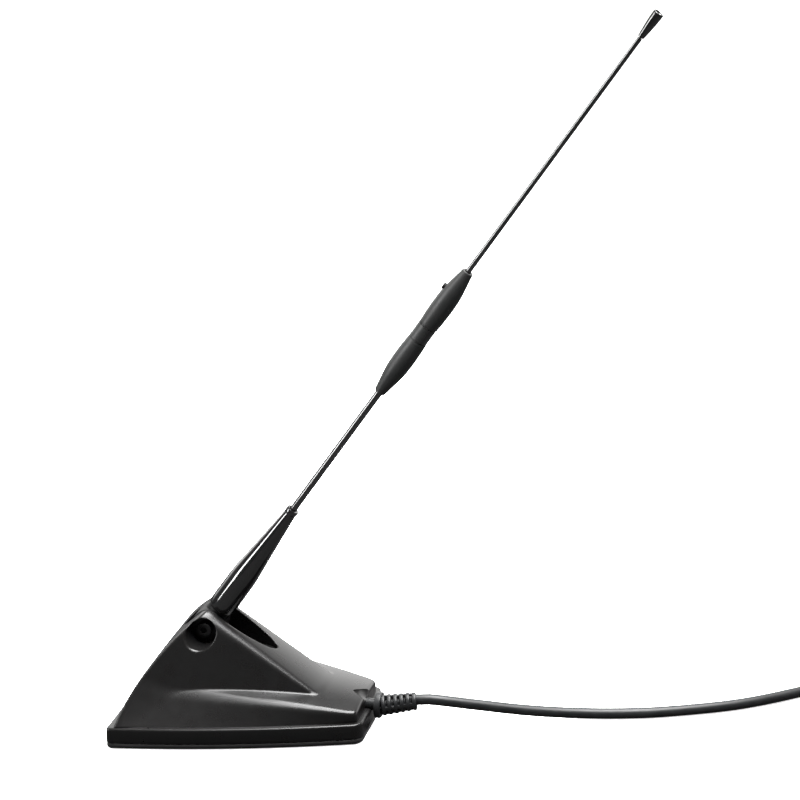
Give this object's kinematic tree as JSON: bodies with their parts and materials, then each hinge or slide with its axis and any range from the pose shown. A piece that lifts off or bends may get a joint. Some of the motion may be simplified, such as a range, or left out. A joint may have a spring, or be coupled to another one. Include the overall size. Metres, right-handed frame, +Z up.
{
  "type": "folding vehicle whip antenna",
  "caption": "Wedge-shaped black base with a folding whip, a phasing coil on the whip, and a coaxial lead that ends in a threaded plug.",
  "frame": {"origin": "on the underside of the foot pad, half way along the base and on its middle plane", "axes": "+X from the wide nose of the base to its tail, where the lead leaves; +Z up; +Y to the side that the lead veers to"},
  "size_m": [0.3869, 0.1592, 0.3334],
  "materials": {
    "satin_black_plastic": "satin moulded black plastic with a very fine grain",
    "black_rubber": "moulded black rubber",
    "plated_steel": "zinc-plated pressed steel",
    "nickel_magnet": "nickel-plated magnet",
    "zinc_nickel": "zinc-plated screw steel",
    "board_laminate": "green solder-masked glass-fibre laminate",
    "brass": "spring brass",
    "black_oxide_steel": "black-oxide steel",
    "gloss_black_lacquer": "gloss black lacquer on turned metal",
    "black_rod": "black-chromed spring steel",
    "charcoal_sleeve": "matte charcoal soft-touch moulding",
    "gloss_black_plastic": "polished black plastic",
    "white_dielectric": "white insulating plastic",
    "copper_wire": "enamelled copper wire",
    "cable_jacket": "black flexible cable jacket",
    "nickel_plug": "nickel-plated brass"
  },
  "bodies": {
    "base": {"housing_shell": "satin_black_plastic", "foot_pad": "black_rubber", "base_plate": "plated_steel", "magnet_front_left": "nickel_magnet", "magnet_front_right": "nickel_magnet", "magnet_rear": "nickel_magnet", "magnet_yoke": "plated_steel", "plate_screw_1": "zinc_nickel", "plate_screw_2": "zinc_nickel", "plate_screw_3": "zinc_nickel", "plate_screw_4": "zinc_nickel", "matching_board": "board_laminate", "board_screw_1": "zinc_nickel", "board_screw_2": "zinc_nickel", "matching_can": "plated_steel", "feed_spring": "brass", "pivot_bolt": "black_oxide_steel", "pivot_nut": "black_oxide_steel", "friction_washer_left": "plated_steel", "friction_washer_right": "plated_steel", "cable_boot": "black_rubber", "lead_inner": "white_dielectric", "cable_run": "cable_jacket", "cable_coil": "cable_jacket", "cable_tail": "cable_jacket", "plug_crimp": "nickel_plug", "plug_body": "nickel_plug", "plug_insulator": "white_dielectric", "plug_pin": "brass"},
    "whip": {"hinge_knuckle": "gloss_black_lacquer", "whip_ferrule": "gloss_black_lacquer", "lower_rod": "black_rod", "coil_lower_sleeve": "charcoal_sleeve", "coil_upper_sleeve": "charcoal_sleeve", "coil_window": "gloss_black_plastic", "coil_core": "white_dielectric", "phasing_coil": "copper_wire", "set_screw": "black_oxide_steel"},
    "whip_top": {"upper_rod": "black_rod", "tip_cap": "gloss_black_plastic"},
    "plug_collar": {"plug_nut": "nickel_plug"}
  },
  "joints": [
    {"name": "whip_fold", "type": "hinge", "parent": "base", "child": "whip", "pos_m": [-0.0206, 0, 0.0448], "axis": [0, 1, 0], "range_deg": [-34.2, 48]},
    {"name": "whip_trim", "type": "slide", "parent": "whip", "child": "whip_top", "axis": [0.5621, 0, 0.8271], "range_m": [-0.003, 0.008]},
    {"name": "plug_nut_spin", "type": "hinge", "parent": "base", "child": "plug_collar", "pos_m": [0.311, 0.0023, 0.0076], "axis": [-0.5, -0.866, 0], "continuous": true}
  ]
}
